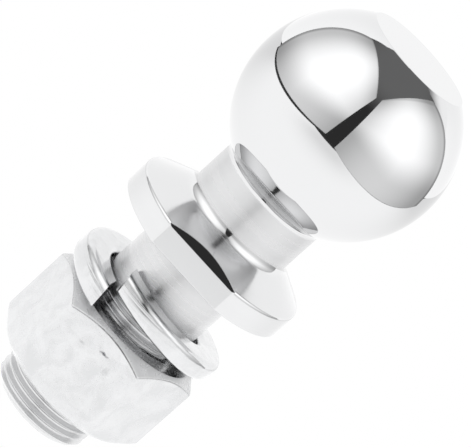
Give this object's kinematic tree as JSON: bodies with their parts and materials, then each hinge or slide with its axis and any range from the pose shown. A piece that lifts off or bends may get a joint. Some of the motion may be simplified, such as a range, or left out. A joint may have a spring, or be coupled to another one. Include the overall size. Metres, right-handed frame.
{
  "type": "threaded tow ball",
  "caption": "Hitch ball with a flat crown, round neck, flange with two wrench flats and a threaded shank that carries a split spring washer and a chamfered hex nut.",
  "frame": {"origin": "centre of the flange's underside, where the shank meets it", "axes": "+Z along the shank's axis, up through the ball; -Y faces one wrench flat"},
  "size_m": [0.0508, 0.0508, 0.1179],
  "materials": {
    "chrome_plate": "mirror chrome plate on a forged and turned steel ball, with fine turning marks on the shank and thread",
    "spring_washer_zinc": "bright zinc plate on a coiled spring washer",
    "nut_zinc": "bright zinc plate, faintly mottled, with small nicks"
  },
  "bodies": {
    "ball": {"tow_ball": "chrome_plate"},
    "washer": {"lock_washer": "spring_washer_zinc"},
    "nut": {"hex_nut": "nut_zinc"}
  },
  "joints": [
    {"name": "washer_slide", "type": "slide", "parent": "ball", "child": "washer", "axis": [0, 0, 1], "range_m": [-0.0321, 0.0053]},
    {"name": "nut_turn", "type": "hinge", "parent": "washer", "child": "nut", "pos_m": [0, 0, -0.0325], "axis": [0, 0, 1], "range_deg": [-6350, 1050]}
  ],
  "couplings": [
    {"joint": "washer_slide", "follows": "nut_turn", "m_per_rad": 0.00028875}
  ]
}
